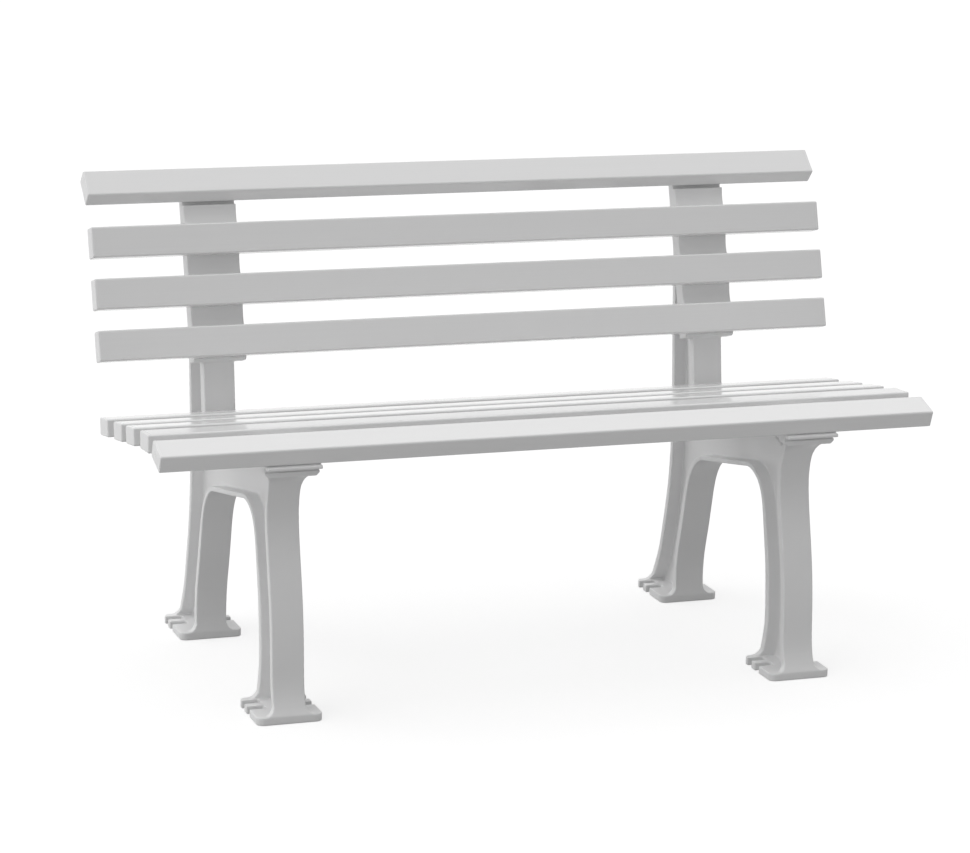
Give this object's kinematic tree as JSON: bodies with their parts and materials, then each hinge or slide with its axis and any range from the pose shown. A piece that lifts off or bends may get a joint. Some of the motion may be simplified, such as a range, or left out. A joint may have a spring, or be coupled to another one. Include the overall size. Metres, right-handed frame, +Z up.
{
  "type": "garden bench",
  "caption": "Free-standing slatted garden bench with a leaning back, hollow plastic slats and two moulded side frames joined to the slats by screws.",
  "frame": {"origin": "on the floor under the middle of the bench, half way between the nose of the seat and the back of the rear feet", "axes": "+X runs along the bench to the right of a viewer in front of it, +Y runs from the front to the back, +Z is up"},
  "size_m": [1.211, 0.5472, 0.738],
  "materials": {
    "slat_plastic": "smooth extruded white plastic with a soft gloss",
    "cap_plastic": "moulded white plastic, slightly softer gloss than the slats",
    "frame_plastic": "injection-moulded white plastic with a fine satin surface",
    "steel_screw": "plain stainless steel",
    "steel_tube": "galvanised steel tube"
  },
  "bodies": {
    "root": {"back_screws_left": "steel_screw", "back_screws_right": "steel_screw", "back_slat_1": "slat_plastic", "back_slat_1_cap_left": "cap_plastic", "back_slat_1_cap_right": "cap_plastic", "back_slat_2": "slat_plastic", "back_slat_2_cap_left": "cap_plastic", "back_slat_2_cap_right": "cap_plastic", "back_slat_3": "slat_plastic", "back_slat_3_cap_left": "cap_plastic", "back_slat_3_cap_right": "cap_plastic", "front_slat": "slat_plastic", "front_slat_cap_left": "cap_plastic", "front_slat_cap_right": "cap_plastic", "front_slat_stiffener": "steel_tube", "seat_screws_left": "steel_screw", "seat_screws_right": "steel_screw", "seat_slat_1": "slat_plastic", "seat_slat_1_cap_left": "cap_plastic", "seat_slat_1_cap_right": "cap_plastic", "seat_slat_1_stiffener": "steel_tube", "seat_slat_2": "slat_plastic", "seat_slat_2_cap_left": "cap_plastic", "seat_slat_2_cap_right": "cap_plastic", "seat_slat_2_stiffener": "steel_tube", "seat_slat_3": "slat_plastic", "seat_slat_3_cap_left": "cap_plastic", "seat_slat_3_cap_right": "cap_plastic", "seat_slat_3_stiffener": "steel_tube", "seat_slat_4": "slat_plastic", "seat_slat_4_cap_left": "cap_plastic", "seat_slat_4_cap_right": "cap_plastic", "seat_slat_4_stiffener": "steel_tube", "side_frame_left": "frame_plastic", "side_frame_right": "frame_plastic", "top_rail": "slat_plastic", "top_rail_cap_left": "cap_plastic", "top_rail_cap_right": "cap_plastic"}
  },
  "joints": []
}
